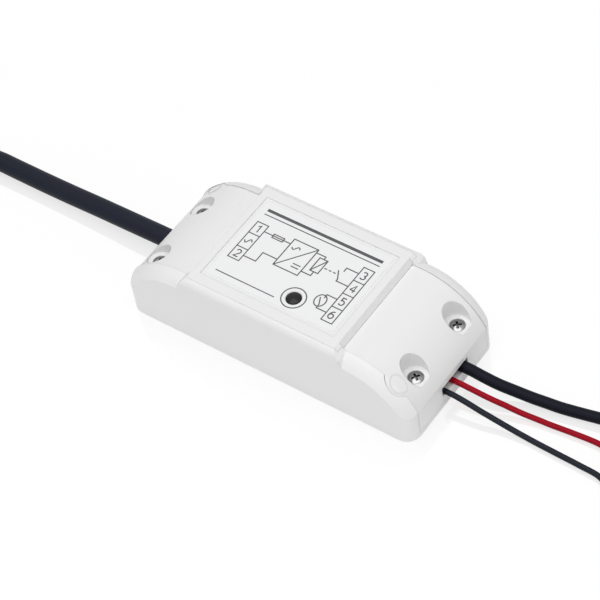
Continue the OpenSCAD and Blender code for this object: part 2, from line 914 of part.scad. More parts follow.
// Round coil of sensor cable
coil_x = 110;
coil_y = 6;
coil_step = sensor_d + 0.5;
coil_r = 17;
coil_turns = 2.125;
coil_from = 135;
coil_z = tie_t + tie_gap + sensor_d / 2;

function coil_radius(t) = coil_r - coil_step * (t < coil_turns / 2 ? t : coil_turns - t);
function coil_level(t) = coil_z + coil_step * smooth((t - coil_turns / 2) * 2 + 0.5);
function coil_point(t) =
    let (a = coil_from - 360 * t)
    [coil_x + coil_radius(t) * cos(a), coil_y + coil_radius(t) * sin(a), coil_level(t)];
coil_start = coil_point(0) - sensor_d * [sin(coil_from), -cos(coil_from), 0];
coil_end = coil_point(coil_turns) + [sensor_d, 0, 0];
coil_loop = [for (i = [0:coil_turns * loop_rings]) coil_point(i / loop_rings)];
coil_route = concat([coil_start], coil_loop, [coil_end]);
echo(coil_gap = self_gap(coil_route, sensor_d, 9));

// Leads outside the case, with routes chosen by hand
mains_route = [
    [-end_x, mains_y, mains_z], [-49, mains_y, mains_z], [-60, 2.1, 3.8], [-70, 2.2, 3.4], [-80, 2.2, 3],
    [-90, 2.2, 2.8], [-100, 2.2, 2.8], [-106, 2.1, 2.9], [-112, 1.1, 3.1], [-117.5, -1.3, 3.4],
    [-122, -5, 3.6], [-125.5, -9.5, 3.7], [-129.5, -14.5, 3.8], [-134.5, -18.6, 3.8],
    [-140, -20.9, 3.8], [hank_start[0] + 1, hank_start[1], hank_start[2]], hank_start
];
sensor_route = [
    [end_x, sensor_y, sensor_z], [46.5, sensor_y, sensor_z], [50, 4.6, 5], [54, 5, 4.2], [58, 5.9, 3.2],
    [62, 6.7, 2.4], [66, 7.5, 1.9], [70, 8.2, 1.6], [75, 9.2, 1.6], [80, 10.3, 1.6], [84.5, 11.1, 1.7],
    [88.5, 11.8, 2], [92, 12.8, 2.3], coil_start - [1.4, 1.4, 0], coil_start
];
red_route = [
    [end_x, red_y, wire_z], [46.5, red_y, wire_z], [50, 0.4, 4.1], [54, 0.8, 3.3], [58, 1.5, 2.3],
    [62, 2, 1.5], [66, 2.6, 1], [70, 3, 0.8], [76, 3.6, 0.8], [82, 4, 0.8], [86, 3.5, 0.8], [90, 1.4, 0.8],
    [93.5, -2.6, 0.8], [96.5, -7.2, 0.8], [100, -11.4, 0.8], [104.5, -14.4, 0.8], [110, -15.7, 0.8],
    [116, -15.7, 0.8]
];
black_route = [
    [end_x, black_y, wire_z], [46.5, black_y, wire_z], [50, -3.6, 4.1], [54, -3.6, 3.3], [58, -3.4, 2.3],
    [62, -3.3, 1.5], [66, -3.3, 1], [70, -3.4, 0.8], [76, -3.6, 0.8], [82, -3.8, 0.8], [87.5, -4.2, 0.8],
    [91, -6.2, 0.8], [94.2, -10.2, 0.8], [97.8, -14.4, 0.8], [102.5, -17.4, 0.8], [108, -18.6, 0.8],
    [114, -18.6, 0.8]
];

module mains_cord() {
    color(BLACK) swept(mains_route, mains_d);
}

module sensor_cable() {
    color(BLACK) swept(sensor_route, sensor_d);
}

module red_wire() {
    color("#a5121f") swept(red_route, wire_d);
}

module black_wire() {
    color(BLACK) swept(black_route, wire_d);
}

// Bare tinned ends of the two switch wires
tip_l = 7;
tip_share = 0.55;

module wire_tips() {
    color(METAL) for (p = [red_route, black_route])
        translate(p[len(p) - 1]) rotate([0, 90, 0]) cylinder(d = tip_share * wire_d, h = tip_l);
}

module mains_hank() {
    color(BLACK) swept(hank_route, mains_d, 6);
}

// Flat ring round the waist of the hank
module hank_tie() {
    r = hank_r(0) - hank_draw + mains_d / 2 + tie_gap;
    top = hank_level(2.16) + mains_d / 2 + tie_gap;
    tie_w = 8;
    color("#2b2c30") translate([fold_x - hank_half - tie_w / 2, hank_y, (top + tie_t) / 2]) along_x(tie_w)
        difference() {
            round_rect(2 * (r + tie_t), top + tie_t, 2);
            round_rect(2 * r, top - tie_t, 2 - tie_t);
        }
}

// Two-pin plug on the end of the mains cord, lying on the hank
plug_w = 19;
plug_t = 12;
plug_l = 22;
neck_l = 18;
pin_l = 16;
pin_w = 6.3;
pin_t = 1.5;
pin_pitch = 12.7;

module mains_plug() {
    color(BLACK) translate(plug_at) {
        rotate([0, 90, 0]) cylinder(d1 = mains_d + 1.2, d2 = plug_t - 2.6, h = neck_l);
        translate([neck_l, 0, -plug_t / 2]) difference() {
            translate([plug_l / 2, 0, 0]) linear_extrude(plug_t) round_rect(plug_l, plug_w, 3);
            for (s = [-1, 1], i = [0:3]) translate([5 + 3 * i, s * plug_w / 2, -1])
                cylinder(d = 1.4, h = plug_t + 2, $fn = 24);
        }
    }
}

module plug_pins() {
    color("#c8a850") for (s = [-1, 1]) translate(plug_at + [neck_l + plug_l, s * pin_pitch / 2, 0])
        rotate([90, 0, 90]) linear_extrude(pin_l) square([pin_t, pin_w], center = true);
}

module sensor_coil() {
    color(BLACK) swept(coil_route, sensor_d, 6);
}

module sensor_tie() {
    outer = coil_r + sensor_d / 2 + tie_gap;
    inner = coil_radius(coil_turns / 2) - sensor_d / 2 - tie_gap;
    top = coil_z + coil_step + sensor_d / 2 + tie_gap;
    tie_w = 4;
    mid_y = coil_y - (outer + inner) / 2;
    color("#2b2c30") translate([coil_x - tie_w / 2, mid_y, (top + tie_t) / 2]) along_x(tie_w) difference() {
        round_rect(outer - inner + 2 * tie_t, top + tie_t, 1.4);
        round_rect(outer - inner, top - tie_t, 1.4 - tie_t);
    }
}

// Stripped cores at the end of the sensor cable
core_end_l = 8;

module sensor_core_ends() {
    color("#d9d9d6") for (s = [-1, 1]) translate(coil_end + [0, s * core_side, 0])
        rotate([0, 90, 0]) cylinder(d = thin_core_d, h = core_end_l);
}

base();
lid();
label();
mains_end_cover();
output_end_cover();
cover_screws();
button_cap();
switch_plunger();
switch_body();
circuit_board();
board_screws();
mains_terminal();
output_terminal();
terminal_screws();
relay();
transformer_core();
transformer_winding();
bulk_capacitors();
output_capacitor();
fuse();
varistor();
bridge_rectifier();
optocoupler();
choke();
wifi_module();
wifi_shield();
control_chips();
mains_inner_cord();
live_core();
neutral_core();
mains_grip();
sensor_inner_cable();
sensor_inner_cores();
sensor_grip();
red_inner_wire();
black_inner_wire();
mains_cord();
mains_hank();
hank_tie();
mains_plug();
plug_pins();
sensor_cable();
sensor_coil();
sensor_tie();
sensor_core_ends();
red_wire();
black_wire();
wire_tips();
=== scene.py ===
import math

import bpy
from mathutils import Matrix, Vector


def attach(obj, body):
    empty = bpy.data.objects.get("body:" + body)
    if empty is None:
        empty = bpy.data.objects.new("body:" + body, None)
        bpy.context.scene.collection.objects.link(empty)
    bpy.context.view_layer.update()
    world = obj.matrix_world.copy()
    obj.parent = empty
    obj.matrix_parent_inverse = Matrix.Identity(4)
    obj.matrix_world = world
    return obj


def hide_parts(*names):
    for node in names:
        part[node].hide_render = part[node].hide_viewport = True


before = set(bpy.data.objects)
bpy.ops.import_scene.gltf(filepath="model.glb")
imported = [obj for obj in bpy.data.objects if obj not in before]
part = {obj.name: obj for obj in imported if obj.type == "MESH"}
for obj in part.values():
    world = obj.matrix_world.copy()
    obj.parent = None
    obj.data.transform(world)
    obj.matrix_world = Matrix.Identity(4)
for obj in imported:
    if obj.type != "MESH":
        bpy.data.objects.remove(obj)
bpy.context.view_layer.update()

# Camera
# It looks down on the box from the output end and the button side, with a long lens,
# and is tipped a little so that the case runs from the upper left to the lower right.
SENSOR_WIDTH, LENS, NEAR_CLIP, CAMERA_AWAY = 36.0, 137.2, 0.05, 0.576
camera = bpy.data.objects.new("camera", bpy.data.cameras.new("camera"))
bpy.context.scene.collection.objects.link(camera)
camera.data.sensor_width = SENSOR_WIDTH
camera.data.lens = LENS
camera.data.clip_start = NEAR_CLIP
aim = Vector((-0.00085, -0.00117, 0.010))
turn, rise, tip = math.radians(43.12), math.radians(50.04), math.radians(-10.25)
back = Vector((math.sin(turn) * math.cos(rise), -math.cos(turn) * math.cos(rise), math.sin(rise)))
level = Vector((math.cos(turn), math.sin(turn), 0.0))
across = math.cos(tip) * level + math.sin(tip) * back.cross(level)
upward = back.cross(across)
spot = aim + CAMERA_AWAY * back
camera.matrix_world = Matrix((
    (across.x, upward.x, back.x, spot.x),
    (across.y, upward.y, back.y, spot.y),
    (across.z, upward.z, back.z, spot.z),
    (0.0, 0.0, 0.0, 1.0),
))
bpy.context.scene.camera = camera
bpy.context.scene.view_settings.view_transform = "Standard"

# Mains cord
# A round black two-core cord with a soft extruded jacket. It lies on the table, and its spare
# length is folded into a tied hank whose end climbs to the plug.
MM = 0.001


def smooth_line(points, steps):
    line = []
    for i in range(len(points) - 1):
        before, here = points[max(i - 1, 0)], points[i]
        there, after = points[i + 1], points[min(i + 2, len(points) - 1)]
        for k in range(steps):
            t = k / steps
            line.append(0.5 * (
                2 * here + (there - before) * t
                + (2 * before - 5 * here + 4 * there - after) * t * t
                + (3 * here - before - 3 * there + after) * t ** 3
            ))
    return line + [points[-1]]


def lay_tube(name, line, radius, sides):
    verts, faces, around, along = [], [], [], []
    side = (line[1] - line[0]).cross(Vector((0.0, 0.0, 1.0))).normalized()
    run = 0.0
    for i, point in enumerate(line):
        ahead = (line[min(i + 1, len(line) - 1)] - line[max(i - 1, 0)]).normalized()
        side = (side - ahead * side.dot(ahead)).normalized()
        up = side.cross(ahead)
        run += (point - line[i - 1]).length if i else 0.0
        for k in range(sides):
            a = 2 * math.pi * k / sides
            verts.append(point + radius * (math.cos(a) * side + math.sin(a) * up))
            around.append(k / sides)
            along.append(run)
    for i in range(len(line) - 1):
        for k in range(sides):
            a, b = i * sides + k, i * sides + (k + 1) % sides
            faces.append((a, a + sides, b + sides, b))
    faces.append(tuple(range(sides)))
    faces.append(tuple(reversed(range(len(verts) - sides, len(verts)))))
    mesh = bpy.data.meshes.new(name)
    mesh.from_pydata(verts, [], faces)
    layer = mesh.uv_layers.new(name="along")
    for face in mesh.polygons:
        face.use_smooth = len(face.vertices) == 4
        seam = any(around[v] > 0.9 for v in face.vertices) and any(around[v] == 0 for v in face.vertices)
        for loop in face.loop_indices:
            v = mesh.loops[loop].vertex_index
            layer.data[loop].uv = (1.0 if seam and around[v] == 0 else around[v], along[v])
    mesh.validate()
    mesh.update()
    tube = bpy.data.objects.new(name, mesh)
    bpy.context.scene.collection.objects.link(tube)
    return tube


def ease(t):
    return (1 - math.cos(math.pi * min(max(t, 0.0), 1.0))) / 2


MAINS_D = 5.4
CASE_END = 44.0
CORD_STEPS, MAINS_SIDES = 4, 24
HANK_Z, HANK_STEP, FOLD_X, HANK_Y = 3.8, 6.3, -151.0, 1.5
FOLD_R, HANK_HALF, HANK_DRAW = 16.6, 20.0, 5.0
HANK_TURNS, HANK_RINGS, QUARTER = 2.5, 24, 0.25
UPPER_LAYER, LAST_FOLD, LAST_INSET = 1.25, 2.25, 1.5
PLUG_START, PLUG_RATE, PLUG_RISE = 2.1, 2.5, 10.6


def hank_point(t):
    if t < 1:
        turns = 1 - t
    elif t < UPPER_LAYER:
        turns = 0
    elif t < LAST_FOLD:
        turns = t - UPPER_LAYER
    else:
        turns = 1 - LAST_INSET * ease((t - LAST_FOLD) / QUARTER)
    r = FOLD_R + HANK_STEP * turns
    z = HANK_Z + HANK_STEP * ease((t - 1) / QUARTER) + PLUG_RISE * ease((t - PLUG_START) * PLUG_RATE)
    u = t - math.floor(t)
    if u < 0.25 or 0.5 <= u < 0.75:
        x = HANK_HALF * (1 - 8 * u) if u < 0.25 else HANK_HALF * (8 * (u - 0.5) - 1)
        y = r - HANK_DRAW * (1 + math.cos(math.pi * x / HANK_HALF)) / 2
        y = -y if u < 0.25 else y
    else:
        a = math.radians(270 - 720 * (u - 0.25) if u < 0.5 else 90 - 720 * (u - 0.75))
        x, y = r * math.cos(a) + (-HANK_HALF if u < 0.5 else HANK_HALF), r * math.sin(a)
    return Vector((FOLD_X - HANK_HALF + x, HANK_Y + y, z))


hank_start = hank_point(0) + Vector((MAINS_D, 0, 0))
plug_entry = hank_point(HANK_TURNS) + Vector((MAINS_D, 0, 0))
mains_route = [Vector(p) for p in (
    (-CASE_END, 2, 4.25), (-49, 2, 4.25), (-60, 2.1, 3.8), (-70, 2.2, 3.4), (-80, 2.2, 3), (-90, 2.2, 2.8),
    (-100, 2.2, 2.8), (-106, 2.1, 2.9), (-112, 1.1, 3.1), (-117.5, -1.3, 3.4), (-122, -5, 3.6),
    (-125.5, -9.5, 3.7), (-129.5, -14.5, 3.8), (-134.5, -18.6, 3.8), (-140, -20.9, 3.8),
)]
mains_route += [hank_start + Vector((1, 0, 0)), hank_start]
mains_route += [hank_point(i / HANK_RINGS) for i in range(int(HANK_TURNS * HANK_RINGS) + 1)]
mains_route += [plug_entry]
mains_line = smooth_line([p * MM for p in mains_route], CORD_STEPS)
mains_flex = lay_tube("mains_flex", mains_line, MAINS_D / 2 * MM, MAINS_SIDES)
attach(mains_flex, "case")
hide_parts("mains_cord", "mains_hank")

# Sensor cable
# A thinner round black cable to the door sensor. It drops from the slot to the table,
# and its spare length is a small tied coil with two stripped cores at the end.
SENSOR_D, SENSOR_SIDES = 3.0, 20
COIL_X, COIL_Y, COIL_Z, COIL_R, COIL_STEP = 110.0, 6.0, 2.6, 17.0, 3.5
COIL_TURNS, COIL_RINGS, COIL_ANGLE = 2.125, 24, 135


def coil_point(t):
    r = COIL_R - COIL_STEP * (t if t < COIL_TURNS / 2 else COIL_TURNS - t)
    a = math.radians(COIL_ANGLE - 360 * t)
    z = COIL_Z + COIL_STEP * ease((t - COIL_TURNS / 2) * 2 + 0.5)
    return Vector((COIL_X + r * math.cos(a), COIL_Y + r * math.sin(a), z))


coil_start = coil_point(0) - SENSOR_D * Vector((math.sqrt(0.5), math.sqrt(0.5), 0))
sensor_route = [Vector(p) for p in (
    (CASE_END, 4.6, 5.35), (46.5, 4.6, 5.35), (50, 4.6, 5), (54, 5, 4.2), (58, 5.9, 3.2), (62, 6.7, 2.4),
    (66, 7.5, 1.9), (70, 8.2, 1.6), (75, 9.2, 1.6), (80, 10.3, 1.6), (84.5, 11.1, 1.7), (88.5, 11.8, 2),
    (92, 12.8, 2.3),
)]
sensor_route += [coil_start - Vector((1.4, 1.4, 0)), coil_start]
sensor_route += [coil_point(i / COIL_RINGS) for i in range(int(COIL_TURNS * COIL_RINGS) + 1)]
sensor_route += [coil_point(COIL_TURNS) + Vector((SENSOR_D, 0, 0))]
sensor_line = smooth_line([p * MM for p in sensor_route], CORD_STEPS)
sensor_flex = lay_tube("sensor_flex", sensor_line, SENSOR_D / 2 * MM, SENSOR_SIDES)
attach(sensor_flex, "case")
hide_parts("sensor_cable", "sensor_coil")

# Switch wires
# Two thin single wires, red and black, that go to the door opener's push-button terminals.
# They come out of the same slot and end in short tinned tips.
WIRE_D, WIRE_STEPS, WIRE_SIDES = 1.5, 6, 16
red_route = (
    (CASE_END, 0.2, 4.6), (46.5, 0.2, 4.6), (50, 0.4, 4.1), (54, 0.8, 3.3), (58, 1.5, 2.3), (62, 2, 1.5),
    (66, 2.6, 1), (70, 3, 0.8), (76, 3.6, 0.8), (82, 4, 0.8), (86, 3.5, 0.8), (90, 1.4, 0.8),
    (93.5, -2.6, 0.8), (96.5, -7.2, 0.8), (100, -11.4, 0.8), (104.5, -14.4, 0.8), (110, -15.7, 0.8),
    (116, -15.7, 0.8),
)
black_route = (
    (CASE_END, -3.6, 4.6), (46.5, -3.6, 4.6), (50, -3.6, 4.1), (54, -3.6, 3.3), (58, -3.4, 2.3),
    (62, -3.3, 1.5), (66, -3.3, 1), (70, -3.4, 0.8), (76, -3.6, 0.8), (82, -3.8, 0.8), (87.5, -4.2, 0.8),
    (91, -6.2, 0.8), (94.2, -10.2, 0.8), (97.8, -14.4, 0.8), (102.5, -17.4, 0.8), (108, -18.6, 0.8),
    (114, -18.6, 0.8),
)
switch_wires = {}
for name, route, node, reach in (
    ("red_lead", red_route, "red_wire", 0.08), ("black_lead", black_route, "black_wire", 0.077),
):
    line = smooth_line([Vector(p) * MM for p in route], WIRE_STEPS)
    lead = lay_tube(name, line, WIRE_D / 2 * MM, WIRE_SIDES)
    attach(lead, "case")
    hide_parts(node)
    switch_wires[name] = lead

# Studio
# A white lacquered table under plain soft light. The table keeps a faint shadow
# and a faint mirror image of the box and its leads.
TABLE_HALF, TABLE_DROP = 3, 0.0002
table_mesh = bpy.data.meshes.new("table")
table_corners = [(x * TABLE_HALF, y * TABLE_HALF, 0) for x, y in ((-1, -1), (1, -1), (1, 1), (-1, 1))]
table_mesh.from_pydata(table_corners, [], [(0, 1, 2, 3)])
table = bpy.data.objects.new("table", table_mesh)
table.location.z = -TABLE_DROP
bpy.context.scene.collection.objects.link(table)


def looked_at(tree):
    rays = tree.nodes.new("ShaderNodeLightPath")
    most = rays.outputs["Is Camera Ray"]
    for ray in ("Is Glossy Ray", "Is Transmission Ray"):
        step = tree.nodes.new("ShaderNodeMath")
        step.operation = "MAXIMUM"
        tree.links.new(most, step.inputs[0])
        tree.links.new(rays.outputs[ray], step.inputs[1])
        most = step.outputs[0]
    return most


TABLE_WHITE, TABLE_GLOW, TABLE_IOR, LACQUER_ROUGHNESS = 0.95, 0.8, 2.25, 0.06
GLOW_NEAR, GLOW_FAR, GLOW_START, GLOW_END = 1.075, 1.3, 0.09, 0.7
table_top = bpy.data.materials.new("table_top")
table_top.use_nodes = True
tree = table_top.node_tree
tree.nodes.clear()
paint = tree.nodes.new("ShaderNodeBsdfDiffuse")
paint.inputs["Color"].default_value = (TABLE_WHITE, TABLE_WHITE, TABLE_WHITE, 1)
glow = tree.nodes.new("ShaderNodeEmission")
ground = tree.nodes.new("ShaderNodeTexCoord")
away = tree.nodes.new("ShaderNodeVectorMath")
away.operation = "LENGTH"
tree.links.new(ground.outputs["Object"], away.inputs[0])
spread = tree.nodes.new("ShaderNodeMapRange")
for socket, value in (
    ("From Min", GLOW_START), ("From Max", GLOW_END), ("To Min", GLOW_NEAR), ("To Max", GLOW_FAR),
):
    spread.inputs[socket].default_value = value
tree.links.new(away.outputs["Value"], spread.inputs["Value"])
tree.links.new(spread.outputs["Result"], glow.inputs["Strength"])
share = tree.nodes.new("ShaderNodeMath")
share.operation = "MULTIPLY"
share.inputs[1].default_value = TABLE_GLOW
tree.links.new(looked_at(tree), share.inputs[0])
lit = tree.nodes.new("ShaderNodeMixShader")
tree.links.new(share.outputs[0], lit.inputs[0])
tree.links.new(paint.outputs[0], lit.inputs[1])
tree.links.new(glow.outputs[0], lit.inputs[2])
lacquer = tree.nodes.new("ShaderNodeBsdfGlossy")
lacquer.inputs["Roughness"].default_value = LACQUER_ROUGHNESS
mirror = tree.nodes.new("ShaderNodeFresnel")
mirror.inputs["IOR"].default_value = TABLE_IOR
top = tree.nodes.new("ShaderNodeMixShader")
tree.links.new(mirror.outputs[0], top.inputs[0])
tree.links.new(lit.outputs[0], top.inputs[1])
tree.links.new(lacquer.outputs[0], top.inputs[2])
tree.links.new(top.outputs[0], tree.nodes.new("ShaderNodeOutputMaterial").inputs[0])
table_mesh.materials.append(table_top)

SKY = 0.37
world = bpy.data.worlds.new("studio")
bpy.context.scene.world = world
world.use_nodes = True
sky = world.node_tree.nodes["Background"]
sky.inputs["Color"].default_value = (1, 1, 1, 1)
sky_level = world.node_tree.nodes.new("ShaderNodeMath")
sky_level.operation = "MULTIPLY_ADD"
sky_level.inputs[1].default_value = 1 - SKY
sky_level.inputs[2].default_value = SKY
world.node_tree.links.new(looked_at(world.node_tree), sky_level.inputs[0])
world.node_tree.links.new(sky_level.outputs[0], sky.inputs["Strength"])


def soft_lamp(name, place, target, width, height, power):
    lamp = bpy.data.objects.new(name, bpy.data.lights.new(name, "AREA"))
    lamp.data.shape = "RECTANGLE"
    lamp.data.size, lamp.data.size_y, lamp.data.energy = width, height, power
    lamp.location = place
    lamp.rotation_euler = (Vector(target) - Vector(place)).to_track_quat("-Z", "Y").to_euler()
    bpy.context.scene.collection.objects.link(lamp)


soft_lamp("top_light", (0.0, -0.1, 0.9), (0, 0, 0), 0.9, 0.9, 5.4)
soft_lamp("front_light", (0.1, -0.9, 0.45), (0, 0, 0.01), 0.7, 0.5, 0.8)
soft_lamp("end_light", (0.9, -0.1, 0.45), (0, 0, 0.01), 0.5, 0.5, 1.0)

# Base
# The white tray of the case: floor, side walls and rounded rails in one injection moulding
# with a fine spark-eroded grain.
PATCH_DETAIL, GRAIN_DETAIL, GLOSS_SPREAD, BUMP_STRENGTH, EDGE_SAMPLES = 3.0, 2.0, 0.15, 0.6, 6


def moulded_group():
    group = bpy.data.node_groups.new("moulded_grain", "ShaderNodeTree")
    for name, kind in (
        ("Colour", "NodeSocketColor"), ("Tone spread", "NodeSocketFloat"),
        ("Patch size", "NodeSocketFloat"), ("Grain size", "NodeSocketFloat"),
        ("Roughness", "NodeSocketFloat"), ("Gloss spread", "NodeSocketFloat"),
    ):
        group.interface.new_socket(name, in_out="INPUT", socket_type=kind)
    for name, kind in (
        ("Colour", "NodeSocketColor"), ("Roughness", "NodeSocketFloat"), ("Height", "NodeSocketFloat"),
    ):
        group.interface.new_socket(name, in_out="OUTPUT", socket_type=kind)
    new, link = group.nodes.new, group.links.new
    given, result = new("NodeGroupInput"), new("NodeGroupOutput")
    place = new("ShaderNodeTexCoord")
    patches, grain = new("ShaderNodeTexNoise"), new("ShaderNodeTexNoise")
    patches.inputs["Detail"].default_value = PATCH_DETAIL
    grain.inputs["Detail"].default_value = GRAIN_DETAIL
    for texture, size in ((patches, "Patch size"), (grain, "Grain size")):
        link(place.outputs["Object"], texture.inputs["Vector"])
        scale = new("ShaderNodeMath")
        scale.operation = "DIVIDE"
        scale.inputs[0].default_value = 1.0
        link(given.outputs[size], scale.inputs[1])
        link(scale.outputs[0], texture.inputs["Scale"])
    centred = new("ShaderNodeMath")
    centred.operation = "SUBTRACT"
    centred.inputs[1].default_value = 0.5
    link(patches.outputs["Fac"], centred.inputs[0])
    tone = new("ShaderNodeMath")
    tone.operation = "MULTIPLY_ADD"
    tone.inputs[2].default_value = 1.0
    link(centred.outputs[0], tone.inputs[0])
    link(given.outputs["Tone spread"], tone.inputs[1])
    shaded = new("ShaderNodeVectorMath")
    shaded.operation = "SCALE"
    link(given.outputs["Colour"], shaded.inputs[0])
    link(tone.outputs[0], shaded.inputs["Scale"])
    link(shaded.outputs[0], result.inputs["Colour"])
    gloss = new("ShaderNodeMath")
    gloss.operation = "MULTIPLY_ADD"
    link(centred.outputs[0], gloss.inputs[0])
    link(given.outputs["Gloss spread"], gloss.inputs[1])
    link(given.outputs["Roughness"], gloss.inputs[2])
    link(gloss.outputs[0], result.inputs["Roughness"])
    link(grain.outputs["Fac"], result.inputs["Height"])
    return group


MOULDED = moulded_group()


def moulded(
    name, colour, roughness, tone=0.04, patch=0.006, grain=0.0003, depth=0.00001, round_edge=0.0, **plain
):
    material = bpy.data.materials.new(name)
    material.use_nodes = True
    nodes, link = material.node_tree.nodes, material.node_tree.links.new
    surface = nodes["Principled BSDF"]
    skin = nodes.new("ShaderNodeGroup")
    skin.node_tree = MOULDED
    for socket, value in (
        ("Colour", (*colour, 1)), ("Tone spread", tone), ("Patch size", patch), ("Grain size", grain),
        ("Roughness", roughness), ("Gloss spread", GLOSS_SPREAD),
    ):
        skin.inputs[socket].default_value = value
    link(skin.outputs["Colour"], surface.inputs["Base Color"])
    link(skin.outputs["Roughness"], surface.inputs["Roughness"])
    bump = nodes.new("ShaderNodeBump")
    bump.inputs["Distance"].default_value = depth
    bump.inputs["Strength"].default_value = BUMP_STRENGTH
    link(skin.outputs["Height"], bump.inputs["Height"])
    if round_edge:
        soft = nodes.new("ShaderNodeBevel")
        soft.inputs["Radius"].default_value = round_edge
        soft.samples = EDGE_SAMPLES
        link(soft.outputs[0], bump.inputs["Normal"])
    link(bump.outputs[0], surface.inputs["Normal"])
    for socket, value in plain.items():
        surface.inputs[socket.replace("_", " ")].default_value = value
    return material


def dress(material, *names):
    for name in names:
        mesh = part[name].data
        mesh.materials.clear()
        mesh.materials.append(material)


shell = moulded(
    "white_shell", (0.845, 0.845, 0.845), 0.42, tone=0.02, patch=0.009, grain=0.00035, depth=0.000008,
    round_edge=0.0003,
)
dress(shell, "base")

# Circuit board
# Green glass-fibre board screwed to posts in the base, with the mains side to the left
# and the door contact to the right.
board_skin = moulded("board_laminate", (0.05, 0.26, 0.12), 0.35, tone=0.25, patch=0.0016, grain=0.0004)
dress(board_skin, "circuit_board")
terminal_skin = moulded("terminal_green", (0.07, 0.33, 0.16), 0.45)
dress(terminal_skin, "mains_terminal", "output_terminal")

# Power parts
# Relay, transformer, capacitors, fuse, varistor, rectifier, optocoupler and choke,
# soldered to the board.
dress(moulded("relay_blue", (0.05, 0.17, 0.5), 0.3, round_edge=0.0003), "relay")
dress(moulded("ferrite", (0.07, 0.07, 0.075), 0.7, tone=0.3, patch=0.0008), "transformer_core")
dress(moulded("winding_tape", (0.75, 0.55, 0.08), 0.25, tone=0.12, patch=0.002), "transformer_winding")
can_sleeve = moulded("can_sleeve", (0.035, 0.045, 0.09), 0.25, tone=0.15)
dress(can_sleeve, "bulk_capacitors", "output_capacitor")
dress(moulded("fuse_brown", (0.28, 0.15, 0.07), 0.4), "fuse")
dress(moulded("varistor_blue", (0.06, 0.18, 0.45), 0.3), "varistor")
dress(moulded("chip_black", (0.02, 0.02, 0.021), 0.55, tone=0.2), "bridge_rectifier", "control_chips")
dress(moulded("chip_white", (0.78, 0.78, 0.74), 0.55), "optocoupler")
dress(moulded("choke_dark", (0.09, 0.06, 0.04), 0.5, tone=0.3, patch=0.001), "choke")

# Radio
# A small dark blue radio board that stands upright on the main board,
# with a pressed tin shield can over its chip.
dress(moulded("radio_board", (0.02, 0.09, 0.2), 0.35, tone=0.2, patch=0.0015), "wifi_module")
dress(moulded("shield_tin", (0.68, 0.69, 0.7), 0.35, tone=0.1, patch=0.0012, Metallic=1.0), "wifi_shield")

# Switch and button
# A tall tactile switch on the board and the black domed cap pressed on its plunger,
# which comes up through the lid.
dress(moulded("switch_black", (0.02, 0.02, 0.022), 0.5), "switch_body", "switch_plunger")
button_skin = moulded(
    "button_black", (0.008, 0.008, 0.009), 0.25, tone=0.3, patch=0.001, round_edge=0.0003,
    Specular_IOR_Level=0.25,
)
dress(button_skin, "button_cap")

# Lid
# The white cover of the raised middle, moulded in the same plastic as the base and snapped
# into it by four tongues, with a shallow panel for the label.
dress(shell, "lid")

# Label
# A white film with a plain connection diagram and terminal numbers, printed in grey
# and bonded in the lid's panel.
dress(moulded("label_film", (0.885, 0.888, 0.896), 0.3, tone=0.012, patch=0.012, depth=0.000003), "label")
PRINT_Z, PRINT_T, PRINT_STEP, RULE = 22.9, 0.015, 0.0008, 0.3
print_verts, print_faces, print_tops = [], [], []


def arc(x, y, rx, ry, start, end, steps=14):
    turns = [math.radians(start + (end - start) * i / steps) for i in range(steps + 1)]
    return [(x + rx * math.cos(a), y + ry * math.sin(a)) for a in turns]


def print_stroke(points, width=RULE, closed=False):
    points = [Vector(p) for p in points]
    first, count = len(print_verts), len(points)
    print_tops.append(PRINT_Z + PRINT_T + PRINT_STEP * len(print_tops))
    for i, point in enumerate(points):
        came = (point - points[i - 1]).normalized() if i or closed else None
        goes = (points[(i + 1) % count] - point).normalized() if i < count - 1 or closed else came
        came = came or goes
        run = (came + goes).normalized()
        side = Vector((-run.y, run.x)) * width / 2 / max(run.dot(goes), 0.5)
        for z in (PRINT_Z, print_tops[-1]):
            for p in (point - side, point + side):
                print_verts.append((p.x * MM, p.y * MM, z * MM))
    for i in range(count if closed else count - 1):
        a, b = first + 4 * i, first + 4 * ((i + 1) % count)
        print_faces.extend((
            (a + 2, b + 2, b + 3, a + 3), (a + 1, b + 1, b, a),
            (a, b, b + 2, a + 2), (a + 3, b + 3, b + 1, a + 1),
        ))
    if not closed:
        last = first + 4 * (count - 1)
        print_faces.extend(((first, first + 2, first + 3, first + 1), (last + 1, last + 3, last + 2, last)))


def print_frame(x0, y0, x1, y1):
    print_stroke([(x0, y0), (x1, y0), (x1, y1), (x0, y1)], closed=True)


# Each numeral is a list of strokes. A stroke of RING_POINTS points is a closed ring.
RING_POINTS = 20
NUMERALS = {
    1: [[(0.1, 0.76), (0.38, 1), (0.38, 0)]],
    2: [arc(0.31, 0.72, 0.27, 0.28, 165, -35) + [(0.04, 0), (0.62, 0)]],
    3: [arc(0.29, 0.74, 0.26, 0.26, 150, -80), arc(0.29, 0.25, 0.3, 0.25, 80, -150)],
    4: [[(0.47, 0), (0.47, 1), (0.02, 0.28)], [(0.02, 0.28), (0.66, 0.28)]],
    5: [[(0.56, 1), (0.13, 1)] + arc(0.29, 0.32, 0.3, 0.32, 125, -145)],
    6: [arc(0.5, 0.31, 0.48, 0.67, 90, 170), arc(0.31, 0.31, 0.29, 0.31, 180, 522, RING_POINTS - 1)],
}
NUMERAL_H, NUMERAL_STROKE = 2.3, 0.34


def print_numeral(numeral, x, y):
    for stroke in NUMERALS[numeral]:
        points = [(x + NUMERAL_H * (u - 0.32), y + NUMERAL_H * (v - 0.5)) for u, v in stroke]
        print_stroke(points, NUMERAL_STROKE, closed=len(stroke) == RING_POINTS)


